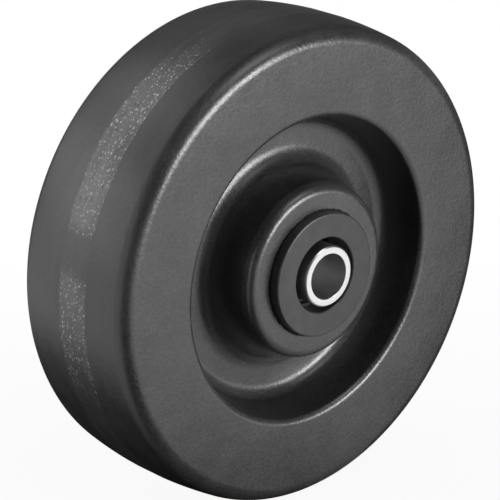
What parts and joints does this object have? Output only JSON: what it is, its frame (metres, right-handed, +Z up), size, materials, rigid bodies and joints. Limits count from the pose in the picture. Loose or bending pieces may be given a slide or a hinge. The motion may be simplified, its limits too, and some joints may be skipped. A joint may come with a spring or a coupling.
{
  "type": "phenolic castor wheel",
  "caption": "Solid moulded phenolic castor wheel, dished on both sides, with a caged roller bearing that turns on a plain steel axle sleeve.",
  "frame": {"origin": "centre of the wheel, on the axle's axis at the middle plane of the tread", "axes": "+Y along the axle towards the back, +Z up, the pictured face looks to -Y"},
  "size_m": [0.2032, 0.0826, 0.2032],
  "materials": {
    "phenolic": "moulded, satin, with a fine pebbled grain and a ground band round the tread",
    "retainer_plastic": "smooth satin",
    "sleeve_steel": "turned, bright ends",
    "race_steel": "ground",
    "cage_steel": "dull, oiled"
  },
  "bodies": {
    "axle_sleeve": {"inner_sleeve": "sleeve_steel"},
    "wheel_body": {"wheel": "phenolic", "outer_race": "race_steel", "retainer_front": "retainer_plastic", "retainer_back": "retainer_plastic"},
    "cage": {"roller_cage": "cage_steel"},
    "roller_1_body": {"roller_1": "race_steel"},
    "roller_2_body": {"roller_2": "race_steel"},
    "roller_3_body": {"roller_3": "race_steel"},
    "roller_4_body": {"roller_4": "race_steel"},
    "roller_5_body": {"roller_5": "race_steel"},
    "roller_6_body": {"roller_6": "race_steel"},
    "roller_7_body": {"roller_7": "race_steel"},
    "roller_8_body": {"roller_8": "race_steel"},
    "roller_9_body": {"roller_9": "race_steel"},
    "roller_10_body": {"roller_10": "race_steel"}
  },
  "joints": [
    {"name": "wheel_spin", "type": "hinge", "parent": "axle_sleeve", "child": "wheel_body", "pos_m": [0, 0, 0], "axis": [0, 1, 0], "continuous": true},
    {"name": "cage_spin", "type": "hinge", "parent": "axle_sleeve", "child": "cage", "pos_m": [0, 0, 0], "axis": [0, 1, 0], "continuous": true},
    {"name": "roller_1_spin", "type": "hinge", "parent": "cage", "child": "roller_1_body", "pos_m": [0, 0, 0.0167], "axis": [0, 1, 0], "continuous": true},
    {"name": "roller_2_spin", "type": "hinge", "parent": "cage", "child": "roller_2_body", "pos_m": [0.00982, 0, 0.01351], "axis": [0, 1, 0], "continuous": true},
    {"name": "roller_3_spin", "type": "hinge", "parent": "cage", "child": "roller_3_body", "pos_m": [0.01588, 0, 0.00516], "axis": [0, 1, 0], "continuous": true},
    {"name": "roller_4_spin", "type": "hinge", "parent": "cage", "child": "roller_4_body", "pos_m": [0.01588, 0, -0.00516], "axis": [0, 1, 0], "continuous": true},
    {"name": "roller_5_spin", "type": "hinge", "parent": "cage", "child": "roller_5_body", "pos_m": [0.00982, 0, -0.01351], "axis": [0, 1, 0], "continuous": true},
    {"name": "roller_6_spin", "type": "hinge", "parent": "cage", "child": "roller_6_body", "pos_m": [0, 0, -0.0167], "axis": [0, 1, 0], "continuous": true},
    {"name": "roller_7_spin", "type": "hinge", "parent": "cage", "child": "roller_7_body", "pos_m": [-0.00982, 0, -0.01351], "axis": [0, 1, 0], "continuous": true},
    {"name": "roller_8_spin", "type": "hinge", "parent": "cage", "child": "roller_8_body", "pos_m": [-0.01588, 0, -0.00516], "axis": [0, 1, 0], "continuous": true},
    {"name": "roller_9_spin", "type": "hinge", "parent": "cage", "child": "roller_9_body", "pos_m": [-0.01588, 0, 0.00516], "axis": [0, 1, 0], "continuous": true},
    {"name": "roller_10_spin", "type": "hinge", "parent": "cage", "child": "roller_10_body", "pos_m": [-0.00982, 0, 0.01351], "axis": [0, 1, 0], "continuous": true}
  ],
  "couplings": [
    {"joint": "cage_spin", "follows": "wheel_spin", "ratio": 0.61976},
    {"joint": "roller_1_spin", "follows": "wheel_spin", "ratio": 1.9873},
    {"joint": "roller_2_spin", "follows": "wheel_spin", "ratio": 1.9873},
    {"joint": "roller_3_spin", "follows": "wheel_spin", "ratio": 1.9873},
    {"joint": "roller_4_spin", "follows": "wheel_spin", "ratio": 1.9873},
    {"joint": "roller_5_spin", "follows": "wheel_spin", "ratio": 1.9873},
    {"joint": "roller_6_spin", "follows": "wheel_spin", "ratio": 1.9873},
    {"joint": "roller_7_spin", "follows": "wheel_spin", "ratio": 1.9873},
    {"joint": "roller_8_spin", "follows": "wheel_spin", "ratio": 1.9873},
    {"joint": "roller_9_spin", "follows": "wheel_spin", "ratio": 1.9873},
    {"joint": "roller_10_spin", "follows": "wheel_spin", "ratio": 1.9873}
  ]
}
